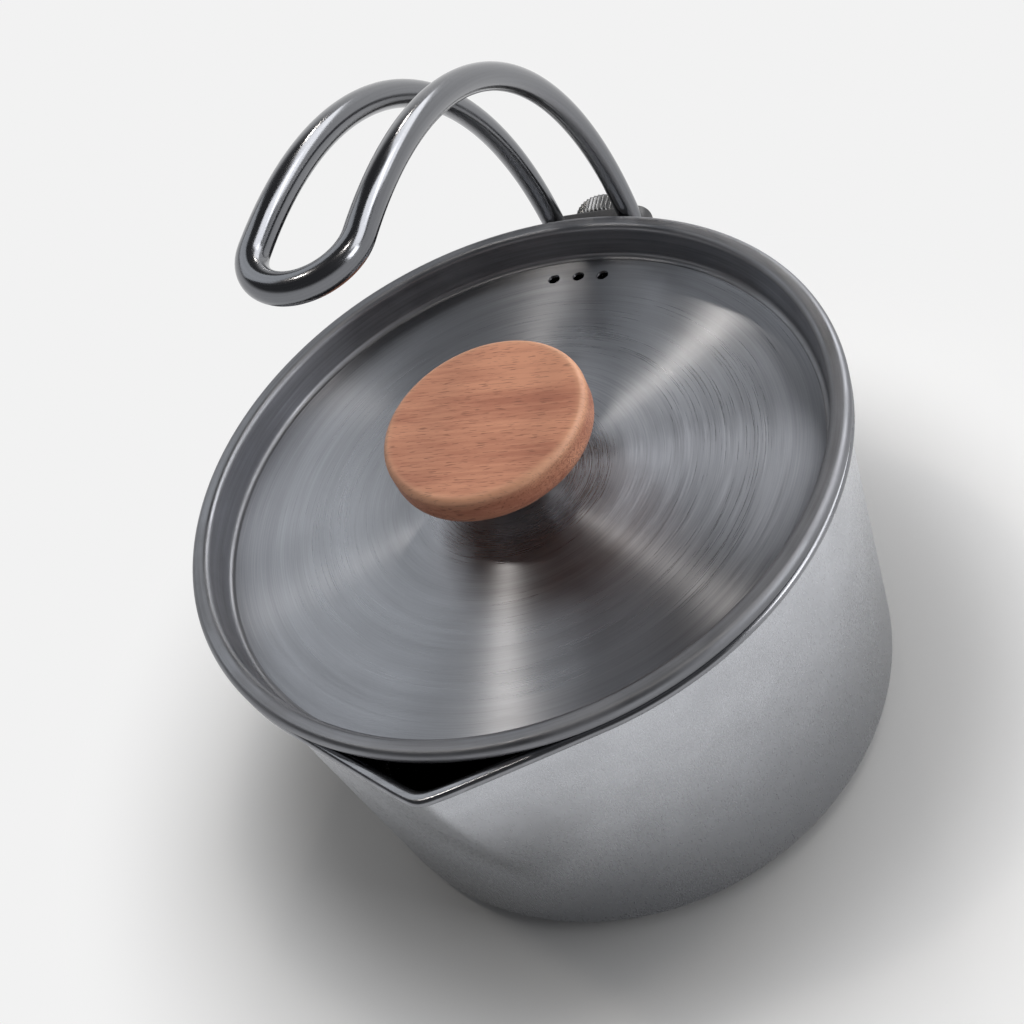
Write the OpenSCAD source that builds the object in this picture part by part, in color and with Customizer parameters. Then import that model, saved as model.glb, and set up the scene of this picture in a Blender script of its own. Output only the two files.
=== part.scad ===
// Camp cooking pot with a pouring lip, a recessed lid and an over-the-top wire handle.
// Millimetres, +Z up. The origin is the centre of the pot's base, the handle is on +Y and the lip on -Y.
// Sheet parts are drawn as the mid-line of their sheet, which sheet_outline() thickens to the gauge.

/* [Pot] */
// Height of the rim above the base
pot_height = 87; // [75:1:120]
// Outer diameter of the wall at the rim
pot_top_d = 145.4; // [132:0.2:180]
// Outer diameter of the wall at the base
pot_base_d = 139; // [125:0.2:144]
// Gauge of the pot's sheet
pot_sheet = 0.8; // [0.6:0.1:1]
// Corner radius between base and wall
base_corner = 6; // [3:0.5:12]
// How far the rolled rim stands out from the wall
rim_reach = 2.2; // [2:0.1:4]
// Outer diameter of the rolled rim
rim_roll_d = 2; // [1.8:0.1:2.4]
// Radius that turns the wall out into the rim
rim_flare = 1.2; // [0.8:0.1:1.5]

/* [Pouring lip] */
// Angle between the two sides of the lip, seen from above
lip_angle = 126.5; // [116:0.5:150]
// How far down the wall the crease of the lip runs
lip_depth = 58; // [20:1:62]
// Half width of the rounding at the nose of the lip
lip_nose = 2; // [1.5:0.1:6]

/* [Lid] */
// Gauge of the lid's sheet
lid_sheet = 0.7; // [0.5:0.1:0.9]
// Depth of the lid's recess below its edge
lid_depth = 9; // [6:0.5:14]
// Outer diameter of the lid's rolled edge
lid_roll_d = 3.3; // [2.8:0.1:4]
// How far the lid's edge stands out past the pot's rim
lid_overhang = 0.1; // [0.1:0.1:2]
// Radial play between the lid's recess and the pot's wall
lid_play = 0.6; // [0.4:0.1:1.5]
// How much the recess narrows from top to bottom
lid_draft = 0.5; // [0.2:0.1:1.5]
// Radius that turns the recess wall out into the edge
lid_shoulder = 1.2; // [0.8:0.1:1.6]
// Corner radius between the lid's floor and its recess wall
lid_corner = 1.8; // [1:0.1:4]
// Diameter of a steam vent
vent_d = 3; // [2:0.5:5]
// Number of steam vents
vent_count = 3; // [1:1:5]
// Distance between steam vents
vent_pitch = 6.4; // [6:0.1:12]
// Distance from the recess wall to the row of vents
vent_inset = 6.5; // [5:0.5:20]
// Turn of the row of vents from the handle, as the loose lid lies
vent_turn = -3; // [-180:1:180]

/* [Lid knob] */
// Diameter of the wooden knob
knob_d = 46; // [34:1:60]
// Thickness of the wooden knob
knob_t = 9; // [9:0.5:20]
// Rounding of the knob's upper edge
knob_top_round = 2.4; // [0.5:0.1:3]
// Rounding of the knob's lower edge
knob_under_round = 4; // [0.5:0.1:5]
// Height of the spacer between lid and knob
spacer_h = 11; // [5:0.5:20]
// Diameter of the spacer's two ends
spacer_end_d = 20; // [16:0.5:26]
// Diameter of the spacer's waist
spacer_waist_d = 13; // [10:0.5:15]
// Diameter of the knob's screw
knob_screw_d = 5; // [4:0.5:6]
// Diameter of the screw's head
knob_screw_head_d = 10; // [9:0.5:12]
// Height of the screw's head
knob_screw_head_h = 2.4; // [1.8:0.1:4]
// Rounding of the screw's head
knob_screw_head_round = 1.4; // [0.5:0.1:1.6]
// Outer diameter of the threaded insert
insert_d = 8.5; // [7.5:0.5:10]
// Length of the threaded insert
insert_len = 7; // [5:0.5:8]
// Diameter of the sealing washer
seal_d = 13; // [11:0.5:18]
// Thickness of the sealing washer
seal_t = 1; // [0.5:0.1:2]

/* [Handle] */
// Diameter of the handle's wire
wire_d = 5.8; // [4:0.2:6.6]
// Distance between the handle's two legs
leg_spacing = 20.4; // [17:0.2:26]
// Radius of the arch that a leg follows
arch_r = 106.2; // [98:0.2:130]
// Angle of the arch above the pivot
arch_angle = 94; // [60:1:110]

/* [Hinge] */
// Distance of the pivot below the rim
pivot_drop = 22; // [18:1:40]
// Distance from the pot's wall to the bracket's outer face
stand_off = 14.3; // [13:0.1:22]
// Gauge of the bracket's sheet
bracket_sheet = 1.6; // [1.2:0.1:2]
// Height of the bracket
bracket_h = 24; // [18:1:32]
// Width across the bracket's outer face
bracket_face_w = 26; // [22:1:30]
// Width across the feet of the bracket's webs
bracket_foot_w = 32; // [28:1:40]
// Length of each flange that lies on the wall
bracket_flange = 9; // [6:0.5:16]
// Bend radius of the bracket
bracket_bend = 2.2; // [1.6:0.1:2.8]
// Height of the hub that holds the wire
hub_h = 20.5; // [16:0.5:30]
// Rounding of the hub's corners
hub_corner = 4; // [1:0.5:6]
// Metal left round the wire in the hub
hub_wall = 1.3; // [1:0.1:4]
// Metal left below the ends of the wire in the hub
hub_floor = 2.5; // [1:0.5:5]
// Diameter of the friction washer behind the hub
friction_d = 20; // [16:0.5:21]
// Thickness of the friction washer
friction_t = 1; // [0.5:0.1:2]

/* [Thumb screw] */
// Diameter of the screw's shank
screw_d = 6; // [5:0.5:7]
// Diameter of the knurled head
head_d = 19.2; // [16:0.2:24]
// Length of the knurled head
head_len = 6.9; // [5:0.1:12]
// Number of knurls round the head
knurl_count = 48; // [24:1:60]
// Depth of the knurls
knurl_depth = 0.6; // [0.3:0.1:1]
// Bevel at both ends of the head
head_bevel = 0.9; // [0.3:0.1:1.5]
// Diameter of the washer under the head
washer_d = 14; // [12:0.5:18]
// Thickness of the washer under the head
washer_t = 0.8; // [0.5:0.1:2]
// Width across the flats of the nut welded in the bracket
nut_w = 10; // [9:0.5:13]
// Thickness of the nut
nut_t = 5; // [4:0.5:6]
// Length of shank that stands out of the back of the nut
shank_spare = 2.5; // [2:0.5:4]

/* [Clearances] */
// Gap between the lid's edge and the rim it lies on
seat_gap = 0.3; // [0.2:0.05:0.5]
// Radial gap of a screw in its thread, and of a pin in its bore
fit_gap = 0.05; // [0.02:0.01:0.1]
// Radial gap round a screw in a hole it only passes through
pass_gap = 0.3; // [0.2:0.05:0.6]
// Gap round the wire in the hub
wire_gap = 0.03; // [0.02:0.01:0.1]
// Gap filled by the weld between bracket and wall
weld_gap = 0.02; // [0.01:0.01:0.1]

/* [Hidden] */
$fn = 64;

// Facets of the large round parts, and steps on a bend and on a rolled edge
round_fn = 180;
bend_steps = 6;
roll_steps = 14;
// Sweep of a rolled edge
roll_sweep = 240;
// Amount by which cuts run past the faces that they open
over = 1;
// Where two stretches of one sheet or wire join, one runs into the other and is this much thinner all round
seam = 0.03;
// How far it runs in, along a sheet, in degrees round it, and along a wire
sheet_lap = 2;
sheet_lap_angle = 2;
wire_lap = 0.5;

// Pot
rim_r = pot_top_d / 2 + rim_reach;
rim_mid_z = pot_height - pot_sheet / 2;
rim_roll = rolled_edge(rim_r, rim_mid_z, rim_roll_d, pot_sheet);

// Pouring lip: sections across it and levels down it
lip_sections = 30;
lip_levels = 9;
crease_max = 90 - lip_angle / 2;
nose_angle = atan(2 * lip_nose / pot_top_d);
lip_low_z = pot_height - lip_depth;

// Lid
lid_r = rim_r + lid_overhang;
lid_top_z = pot_height + seat_gap + lid_roll_d;
lid_mid_z = lid_top_z - lid_sheet / 2;
lid_floor_z = lid_top_z - lid_depth;
lid_floor_mid_z = lid_floor_z - lid_sheet / 2;
lid_roll = rolled_edge(lid_r, lid_mid_z, lid_roll_d, lid_sheet);
recess_top_r = wall_r(pot_height) - pot_sheet - lid_play;
recess_low_r = wall_r(lid_floor_z) - pot_sheet - lid_play - lid_draft;
vent_r = recess_low_r - lid_sheet - vent_inset;

// Knob stack on the lid's floor
knob_z = lid_floor_z + spacer_h;
knob_hole_d = knob_screw_d + 2 * pass_gap;
seal_z = lid_floor_z - lid_sheet - seal_t;

// Hinge: faces along the pivot, from the wall outwards
pivot_z = pot_height - pivot_drop;
bracket_y = wall_r(pivot_z) + stand_off;
bracket_low_z = pivot_z - bracket_h / 2;
nut_y = bracket_y - bracket_sheet - nut_t;
shank_end_y = nut_y - shank_spare;
hub_y = bracket_y + friction_t;
hub_depth = wire_d + 2 * hub_wall;
hub_w = leg_spacing + hub_depth;
washer_y = hub_y + hub_depth;
head_y = washer_y + washer_t;
screw_hole_d = screw_d + 2 * pass_gap;

// Handle
leg_x = leg_spacing / 2;
leg_y = hub_y + hub_depth / 2;
arch_y = leg_y - arch_r;
tail_angle = asin((hub_h / 2 - hub_floor) / arch_r);

// Outer radius of the pot's wall at a height, and the mid-line of its sheet there
function wall_r(z) = (pot_base_d + (pot_top_d - pot_base_d) * z / pot_height) / 2;
function wall_mid(z) = [wall_r(z) - pot_sheet / 2, z];

// Points on an arc round a centre
function arc(centre, r, from, to, steps) =
    [for (i = [0:steps]) let (a = from + (to - from) * i / steps) centre + r * [cos(a), sin(a)]];

// Mid-line of a sheet's edge, rolled out and under from the level mid_z
function rolled_edge(outer_r, mid_z, roll_d, gauge) =
    let (r = (roll_d - gauge) / 2)
    arc([outer_r - roll_d / 2, mid_z - r], r, 90, 90 - roll_sweep, roll_steps);

function unit(v) = v / norm(v);
function left_of(v) = [-v.y, v.x];
function turn_of(u, v) = sign(u.x * v.y - u.y * v.x);
function after_first(list) = [for (i = [1:len(list) - 1]) list[i]];
function rounded(p, r) = [p.x, p.y, r];
function sharp(p) = rounded(p, 0);

// One corner of a path, as an arc that touches both of its sides
function corner_points(a, b, c, r) =
    let (u = unit(a - b), v = unit(c - b), half = acos(u * v) / 2,
         centre = b + unit(u + v) * r / sin(half),
         start = b + u * r / tan(half) - centre,
         from = atan2(start.y, start.x), sweep = turn_of(u, v) * (2 * half - 180))
    arc(centre, r, from, from + sweep, bend_steps);

// A path through points [x, y, corner radius], with its corners rounded
function rounded_path(points) =
    let (flat = [for (p = points) [p.x, p.y]])
    [for (i = [0:len(points) - 1])
        each points[i][2] == 0 ? [flat[i]] : corner_points(flat[i - 1], flat[i], flat[i + 1], points[i][2])];

// Mitred normal of a path at one of its points
function path_normal(path, i) =
    let (a = max(i, 1), b = min(i, len(path) - 2),
         both = left_of(unit(path[a] - path[a - 1])) + left_of(unit(path[b + 1] - path[b])))
    2 * both / (both * both);

// Closed outline of a sheet whose mid-line is the path
function sheet_outline(path, gauge) = concat(
    [for (i = [0:len(path) - 1]) path[i] + path_normal(path, i) * gauge / 2],
    [for (i = [len(path) - 1:-1:0]) path[i] - path_normal(path, i) * gauge / 2]);

// Mid-line of the pot's wall and rim, going up from the points given
function up_to_rim(points) = concat(
    rounded_path(concat(points, [rounded(wall_mid(rim_mid_z), rim_flare), sharp(rim_roll[0])])),
    after_first(rim_roll));

// Share of the lip that is left at a height: 1 at the rim, fading smoothly to 0 at its lower end
function lip_fade(z) = let (u = min(1, max(0, (pot_height - z) / lip_depth))) pow(1 - u * u, 1.5);

// Half angle of the lip's V at a height: its flat sides touch the round wall this far from the crease
function crease(z) = acos(1 / (1 + (1 / cos(crease_max) - 1) * lip_fade(z)));

// How far the lip pushes the wall out, as a factor on its radius, at an angle from the crease
function lip_factor(angle, z) = 1 / cos(max(0, crease(z) - norm([angle, nose_angle])));

// A point of the pot's profile, carried round to an angle from the lip and pushed out by it
function lip_point(p, angle) = let (r = p.x * lip_factor(angle, p.y)) [r * sin(angle), -r * cos(angle), p.y];

// Lays children, drawn along +Z, along the pivot from a distance out
module along_pivot(y) {
    translate([0, y, pivot_z]) rotate([-90, 0, 0]) children();
}

module ring(outer_d, inner_d, length) {
    difference() {
        cylinder(d = outer_d, h = length);
        translate([0, 0, -over]) cylinder(d = inner_d, h = length + 2 * over);
    }
}

module rounded_rectangle(w, h, r) {
    square([w - 2 * r, h], center = true);
    square([w, h - 2 * r], center = true);
    for (x = [-1, 1], y = [-1, 1]) translate([x * (w / 2 - r), y * (h / 2 - r)]) circle(r);
}

// Prism that opens the round wall where the lip takes its place
module lip_window() {
    side = 2 * rim_r * [sin(crease_max), -cos(crease_max)];
    translate([0, 0, lip_low_z]) linear_extrude(lip_depth + over)
        polygon([[0, 0], [-side.x, side.y], side]);
}

// The lip: the pot's own wall and rim, lofted through sections that lean out to a V
module lip() {
    low_z = lip_low_z - sheet_lap;
    step = (rim_mid_z - 2 * rim_flare - low_z) / lip_levels;
    path = up_to_rim([for (i = [0:lip_levels]) sharp(wall_mid(low_z + i * step))]);
    faces = sheet_outline(path, pot_sheet - 2 * seam);
    n = len(faces);
    // Its lower edge narrows to half the gauge, well inside the sheet that it runs into
    outline = [for (i = [0:n - 1]) i == 0 || i == n - 1 ? (faces[i] + path[0]) / 2 : faces[i]];
    reach = crease_max + sheet_lap_angle;
    points = [for (j = [0:lip_sections], p = outline) lip_point(p, reach * (2 * j / lip_sections - 1))];
    sides = [for (j = [0:lip_sections - 1], i = [0:n - 1])
        let (a = j * n + i, b = j * n + (i + 1) % n) each [[a, b + n, b], [a, a + n, b + n]]];
    // Each end is closed by strips between the two faces of the sheet
    first = [for (i = [0:n / 2 - 2]) each [[i, i + 1, n - 2 - i], [i, n - 2 - i, n - 1 - i]]];
    last = [for (f = first) [f[0], f[2], f[1]] + lip_sections * n * [1, 1, 1]];
    polyhedron(points, concat(sides, first, last));
}

module pot_shell() {
    base_mid_z = pot_sheet / 2;
    path = up_to_rim([[0, base_mid_z, 0], rounded(wall_mid(base_mid_z), base_corner)]);
    color("#8d9094") union() {
        difference() {
            rotate_extrude($fn = round_fn) polygon(sheet_outline(path, pot_sheet));
            lip_window();
        }
        lip();
    }
}

module handle_bracket() {
    wall_mid_r = wall_r(bracket_low_z) + bracket_sheet / 2;
    face_y = bracket_y - bracket_sheet / 2;
    foot_angle = asin(bracket_foot_w / 2 / wall_mid_r);
    end_angle = foot_angle + bracket_flange / wall_mid_r * 180 / PI;
    flange = arc([0, 0], wall_mid_r, 90 - foot_angle, 90 - end_angle, bend_steps);
    half = concat(rounded_path([[0, face_y, 0], [bracket_face_w / 2, face_y, bracket_bend],
        rounded(flange[0], bracket_bend), sharp(flange[2])]), [for (i = [3:bend_steps]) flange[i]]);
    path = concat([for (i = [len(half) - 1:-1:1]) [-half[i].x, half[i].y]], after_first(half));
    color("#7d8084") difference() {
        translate([0, 0, bracket_low_z]) linear_extrude(bracket_h)
            polygon(sheet_outline(path, bracket_sheet));
        cylinder(r1 = wall_r(0) + weld_gap, r2 = wall_r(pot_height) + weld_gap, h = pot_height,
            $fn = round_fn);
        along_pivot(bracket_y - bracket_sheet - over)
            cylinder(d = screw_hole_d, h = bracket_sheet + 2 * over);
    }
}

module bracket_nut() {
    color("#6f7276") along_pivot(nut_y) difference() {
        cylinder(d = nut_w / cos(30), h = nut_t, $fn = 6);
        translate([0, 0, -over]) cylinder(d = screw_d, h = nut_t + 2 * over);
    }
}

module friction_washer() {
    color("#3a3b3d") along_pivot(bracket_y) ring(friction_d, screw_hole_d, friction_t);
}

// One leg of the handle's wire, from inside the hub up over the lid
module leg(x, d) {
    translate([x, arch_y, pivot_z]) rotate([90, 0, 90]) rotate(-tail_angle)
        rotate_extrude(angle = tail_angle + arch_angle, $fn = round_fn) translate([arch_r, 0]) circle(d = d);
}

module handle_hub() {
    color("#26272a") difference() {
        along_pivot(hub_y) linear_extrude(hub_depth) rounded_rectangle(hub_w, hub_h, hub_corner);
        along_pivot(hub_y - over) cylinder(d = screw_d, h = hub_depth + 2 * over);
        for (side = [-1, 1]) leg(side * leg_x, wire_d + 2 * wire_gap);
    }
}

// The two legs and the half turn that joins them at the free end
module handle_wire() {
    lap_angle = wire_lap / leg_x * 180 / PI;
    color("#9a9da1") union() {
        for (side = [-1, 1]) leg(side * leg_x, wire_d);
        translate([0, arch_y + arch_r * cos(arch_angle), pivot_z + arch_r * sin(arch_angle)])
            rotate([90 + arch_angle, 0, 0]) rotate(-lap_angle)
                rotate_extrude(angle = 180 + 2 * lap_angle)
                    translate([leg_x, 0]) circle(d = wire_d - 2 * seam);
    }
}

module screw_washer() {
    color("#85888c") along_pivot(washer_y) ring(washer_d, screw_hole_d, washer_t);
}

module thumb_screw() {
    head_r = head_d / 2;
    face_r = head_r - head_bevel;
    color("#a2a4a7") union() {
        along_pivot(head_y) intersection() {
            linear_extrude(head_len) polygon([for (i = [0:2 * knurl_count - 1])
                let (a = 180 * i / knurl_count) (head_r - knurl_depth * (i % 2)) * [cos(a), sin(a)]]);
            // Two cones, back to back, bevel both ends of the knurls
            rotate_extrude() polygon([[0, 0], [face_r, 0], [face_r + head_len / 2, head_len / 2],
                [face_r, head_len], [0, head_len]]);
        }
        along_pivot(shank_end_y) cylinder(d = screw_d - 2 * fit_gap, h = head_y - shank_end_y + over);
    }
}

module lid_disc() {
    path = concat(rounded_path([[0, lid_floor_mid_z, 0],
        [recess_low_r - lid_sheet / 2, lid_floor_mid_z, lid_corner],
        [recess_top_r - lid_sheet / 2, lid_mid_z, lid_shoulder], sharp(lid_roll[0])]), after_first(lid_roll));
    color("#a7a9ac") difference() {
        rotate_extrude($fn = round_fn) polygon(sheet_outline(path, lid_sheet));
        translate([0, 0, lid_floor_z - lid_sheet - over]) {
            cylinder(d = knob_hole_d, h = lid_sheet + 2 * over);
            for (i = [0:vent_count - 1])
                rotate(vent_turn + (i - (vent_count - 1) / 2) * vent_pitch / vent_r * 180 / PI)
                    translate([0, vent_r, 0]) cylinder(d = vent_d, h = lid_sheet + 2 * over);
        }
    }
}

module knob_spacer() {
    // The waist is an arc through the edges of both ends
    dip = (spacer_end_d - spacer_waist_d) / 2;
    waist_r = (dip * dip + spacer_h * spacer_h / 4) / (2 * dip);
    half = asin(spacer_h / 2 / waist_r);
    centre = [spacer_waist_d / 2 + waist_r, spacer_h / 2];
    waist = arc(centre, waist_r, 180 + half, 180 - half, 2 * bend_steps);
    color("#9da0a3") translate([0, 0, lid_floor_z]) difference() {
        rotate_extrude() polygon(concat([[0, 0]], waist, [[0, spacer_h]]));
        translate([0, 0, -over]) cylinder(d = knob_hole_d, h = spacer_h + 2 * over);
    }
}

module lid_knob() {
    knob_r = knob_d / 2;
    color("#c98b63") translate([0, 0, knob_z]) difference() {
        rotate_extrude($fn = round_fn) polygon(rounded_path([[0, 0, 0], [knob_r, 0, knob_under_round],
            [knob_r, knob_t, knob_top_round], [0, knob_t, 0]]));
        translate([0, 0, -over]) cylinder(d = insert_d, h = insert_len + over);
    }
}

module knob_insert() {
    color("#b08d4f") translate([0, 0, knob_z]) ring(insert_d - 2 * fit_gap, knob_screw_d, insert_len);
}

module knob_screw() {
    head_r = knob_screw_head_d / 2;
    color("#8a8d91") translate([0, 0, seal_z]) union() {
        rotate_extrude() polygon(rounded_path([[0, 0, 0], [head_r, 0, 0],
            [head_r, -knob_screw_head_h, knob_screw_head_round], [0, -knob_screw_head_h, 0]]));
        translate([0, 0, -over])
            cylinder(d = knob_screw_d - 2 * fit_gap, h = knob_z + insert_len - seal_z);
    }
}

module knob_seal() {
    color("#5a5b5e") translate([0, 0, seal_z]) ring(seal_d, knob_hole_d, seal_t);
}

pot_shell();
handle_bracket();
bracket_nut();
friction_washer();
handle_hub();
handle_wire();
screw_washer();
thumb_screw();
lid_disc();
knob_spacer();
lid_knob();
knob_insert();
knob_screw();
knob_seal();
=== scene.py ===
"""Looks of a camp cooking pot with a pouring lip, a recessed lid and an over-the-top wire handle.

The packed part is the frame: metres, +Z up, the origin at the centre of the base, the handle on +Y
and the lip on -Y. The pieces that show most are drawn again here as finer surfaces; small hardware
keeps its solid.
"""

from math import cos, radians, sin

import bmesh
import bpy
import numpy as np
from bpy.props import FloatProperty, FloatVectorProperty, IntProperty, PointerProperty
from mathutils import Matrix, Vector


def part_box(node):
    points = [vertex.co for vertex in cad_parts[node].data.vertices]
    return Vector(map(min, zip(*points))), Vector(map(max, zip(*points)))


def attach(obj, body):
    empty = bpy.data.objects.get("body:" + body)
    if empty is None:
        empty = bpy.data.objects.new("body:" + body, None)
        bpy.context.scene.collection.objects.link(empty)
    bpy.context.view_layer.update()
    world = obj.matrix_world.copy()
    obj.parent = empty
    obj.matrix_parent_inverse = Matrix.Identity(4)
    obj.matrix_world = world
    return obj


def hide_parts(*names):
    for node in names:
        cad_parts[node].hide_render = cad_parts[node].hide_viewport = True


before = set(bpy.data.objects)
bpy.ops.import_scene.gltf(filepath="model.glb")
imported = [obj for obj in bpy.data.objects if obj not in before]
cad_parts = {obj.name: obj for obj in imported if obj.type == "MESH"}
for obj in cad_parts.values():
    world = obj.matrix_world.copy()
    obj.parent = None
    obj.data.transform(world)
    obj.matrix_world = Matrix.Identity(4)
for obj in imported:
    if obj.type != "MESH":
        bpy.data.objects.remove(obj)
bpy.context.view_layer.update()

bl_info = {
    "name": "Camp Cooking Pot",
    "version": (1, 0, 0),
    "blender": (4, 5, 0),
    "location": "View3D > Sidebar > Camp Pot",
    "description": "Draws the pot, its lid, knob, wire handle and hinge round the packed part",
    "category": "Add Mesh",
}

MM = 0.001
X, Y, Z = 0, 1, 2


def low(name, axis):
    """Lowest coordinate of a packed node."""
    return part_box(name)[0][axis]


def high(name, axis):
    """Highest coordinate of a packed node."""
    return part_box(name)[1][axis]


def middle(name, axis):
    """Coordinate half way between a packed node's lowest and highest."""
    return (low(name, axis) + high(name, axis)) / 2


def length(name, description, default):
    return FloatProperty(name=name, description=description, default=default, unit="LENGTH", precision=5)


def angle(name, description, degrees):
    return FloatProperty(name=name, description=description, default=np.radians(degrees), subtype="ANGLE")


def colour(name, description, default):
    return FloatVectorProperty(name=name, description=description, default=default, subtype="COLOR",
                               size=3, min=0, max=1)


class PotSettings(bpy.types.PropertyGroup):
    """Sizes and finish of the pot's wall, rim and pouring lip"""

    height: length("Height", "Height of the rim above the base", high("pot_shell", Z))
    top_d: length("Top diameter", "Outer diameter of the wall at the rim", 145.4 * MM)
    base_d: length("Base diameter", "Outer diameter of the wall at the base", 139 * MM)
    sheet: length("Sheet", "Gauge of the pot's sheet", 0.8 * MM)
    base_corner: length("Base corner", "Corner radius between base and wall", 6 * MM)
    rim_reach: length("Rim reach", "How far the rolled rim stands out from the wall", 2.2 * MM)
    rim_roll_d: length("Rim roll", "Outer diameter of the rolled rim", 2 * MM)
    rim_flare: length("Rim flare", "Radius that turns the wall out into the rim", 1.2 * MM)
    lip_angle: angle("Lip angle", "Angle between the two sides of the lip, from above", 126.5)
    lip_depth: length("Lip depth", "How far down the wall the crease of the lip runs", 58 * MM)
    lip_nose: length("Lip nose", "Half width of the rounding at the nose of the lip", 2 * MM)
    steel: colour("Steel", "Colour of the satin drawn steel", (0.535, 0.548, 0.582))
    # Darker than the wall's steel: painted shade on the rolled rim and the gap under the lid's edge
    rim_steel: colour("Rim steel", "Colour of the burnished rim", (0.24, 0.244, 0.26))


class LidSettings(bpy.types.PropertyGroup):
    """Sizes and finish of the recessed lid"""

    sheet: length("Sheet", "Gauge of the lid's sheet", 0.7 * MM)
    depth: length("Depth", "Depth of the recess below the lid's edge", 9 * MM)
    roll_d: length("Edge roll", "Outer diameter of the lid's rolled edge", 3.3 * MM)
    recess_top_r: length("Recess top", "Outer radius of the recess at its top", 71.3 * MM)
    recess_low_r: length("Recess foot", "Outer radius of the recess at its foot", 70.4 * MM)
    shoulder: length("Shoulder", "Radius that turns the recess wall out into the edge", 1.2 * MM)
    corner: length("Corner", "Corner radius between the floor and the recess wall", 1.8 * MM)
    hole_d: length("Hole", "Diameter of the hole for the knob's screw", 5.6 * MM)
    vent_d: length("Vent", "Diameter of a steam vent", 3 * MM)
    vent_count: IntProperty(name="Vents", description="Number of steam vents", default=3, min=1, max=5)
    vent_pitch: length("Vent pitch", "Distance between steam vents", 6.4 * MM)
    vent_r: length("Vent circle", "Distance of the steam vents from the axis", 63.2 * MM)
    vent_turn: angle("Vent turn", "Turn of the row of vents from the handle, towards +X", 3)
    steel: colour("Steel", "Colour of the circular brushed steel", (0.336, 0.344, 0.37))
    # Darker than the brushed steel: painted shade on the recess wall and the rolled edge
    edge_steel: colour("Edge steel", "Colour of the burnished recess wall and edge", (0.205, 0.209, 0.224))


class KnobSettings(bpy.types.PropertyGroup):
    """Sizes and finish of the wooden knob"""

    top_round: length("Upper rounding", "Rounding of the knob's upper edge", 1.6 * MM)
    under_round: length("Lower rounding", "Rounding of the knob's lower edge", 4 * MM)
    bore_d: length("Bore", "Diameter of the bore for the threaded insert", 8.5 * MM)
    bore_depth: length("Bore depth", "Depth of the bore for the threaded insert", 7 * MM)
    light_wood: colour("Light wood", "Colour of the pale part of the grain", (0.58, 0.268, 0.162))
    dark_wood: colour("Dark wood", "Colour of the dark part of the grain", (0.38, 0.145, 0.088))
    # Painted highlight: colour of the paler upper edge of the knob
    painted_highlight_wood: colour("Rubbed wood", "Colour of the wood at the rubbed edge", (0.68, 0.41, 0.25))


class HandleSettings(bpy.types.PropertyGroup):
    """Sizes and finish of the wire handle"""

    wire_d: length("Wire", "Diameter of the wire", 5.8 * MM)
    leg_spacing: length("Leg spacing", "Distance between the two legs", 20.4 * MM)
    arch_r: length("Arch radius", "Radius of the arch that a leg follows", 106.2 * MM)
    arch_angle: angle("Arch angle", "Angle of the arch above the pivot", 94)
    hub_floor: length("Hub floor", "Metal left below the ends of the wire", 2.5 * MM)
    steel: colour("Steel", "Colour of the polished wire", (0.18, 0.184, 0.197))


class HingeSettings(bpy.types.PropertyGroup):
    """Sizes and finish of the hub, the thumb screw and the small hardware"""

    hub_corner: length("Hub corner", "Rounding of the hub's corners", 4 * MM)
    hub_edge: length("Hub edge", "Rounding of the hub's front and back edges", 1 * MM)
    screw_d: length("Screw", "Diameter of the thumb screw's bore in the hub", 6 * MM)
    knurl_count: IntProperty(name="Knurls", description="Number of knurls round the head", default=48,
                             min=24, max=60)
    knurl_depth: length("Knurl depth", "Depth of the knurls", 0.6 * MM)
    head_bevel: length("Head bevel", "Bevel at both ends of the head", 0.9 * MM)
    black: colour("Black", "Colour of the satin black hub", (0.022, 0.022, 0.024))
    steel: colour("Steel", "Colour of the turned steel", (0.5, 0.5, 0.505))


class StageSettings(bpy.types.PropertyGroup):
    """Floor, light and camera"""

    pale: colour("Pale", "Colour of floor and backdrop", (0.888, 0.888, 0.888))
    light: FloatProperty(name="Light", description="Strength of all lamps together", default=1, min=0)


# Paths and surfaces

# How far a sheet's edge is rolled, in degrees, and in how many steps
ROLL_SWEEP, ROLL_STEPS = 240, 28
# Points closer than the first are merged; edges shorter than the second are dissolved
SAME_POINT, NO_LENGTH = 1e-7, 1e-8


def arc(centre, radius, start, end, steps):
    """Points on the circle round centre, from angle start to angle end in degrees."""
    t = np.radians(np.linspace(start, end, steps + 1))
    return np.asarray(centre) + radius * np.stack((np.cos(t), np.sin(t)), 1)


def unit(v):
    """Vectors divided by their own lengths."""
    return v / np.linalg.norm(v, axis=-1, keepdims=True)


def rounded_path(corners, steps=10):
    """A path through corners (x, y, radius): each corner gives way to the arc that touches both its sides."""
    flat = np.array([c[:2] for c in corners], float)
    parts = []
    for i, radius in enumerate(c[2] for c in corners):
        if radius == 0:
            parts.append(flat[i:i + 1])
            continue
        u, v = unit(flat[i - 1] - flat[i]), unit(flat[i + 1] - flat[i])
        half = np.arccos(np.clip(u @ v, -1, 1)) / 2
        centre = flat[i] + unit(u + v) * radius / np.sin(half)
        start = flat[i] + u * radius / np.tan(half) - centre
        begin = np.degrees(np.arctan2(start[1], start[0]))
        sweep = np.sign(u[0] * v[1] - u[1] * v[0]) * (2 * np.degrees(half) - 180)
        parts.append(arc(centre, radius, begin, begin + sweep, steps))
    return np.concatenate(parts)


def rolled_edge(outer_r, mid_z, roll_d, gauge):
    """Mid-line of a sheet's edge, rolled out and under from the level mid_z."""
    r = (roll_d - gauge) / 2
    return arc((outer_r - roll_d / 2, mid_z - r), r, 90, 90 - ROLL_SWEEP, ROLL_STEPS)


def distances(path):
    """Distance along a path from its first point to each of its points."""
    return np.concatenate(([0], np.cumsum(np.linalg.norm(np.diff(path, axis=0), axis=1))))


def points_at(path, along, spots):
    """Points of a path at the distances spots, where along has the distance of each of its own points."""
    return np.stack([np.interp(spots, along, column) for column in path.T], 1)


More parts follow.
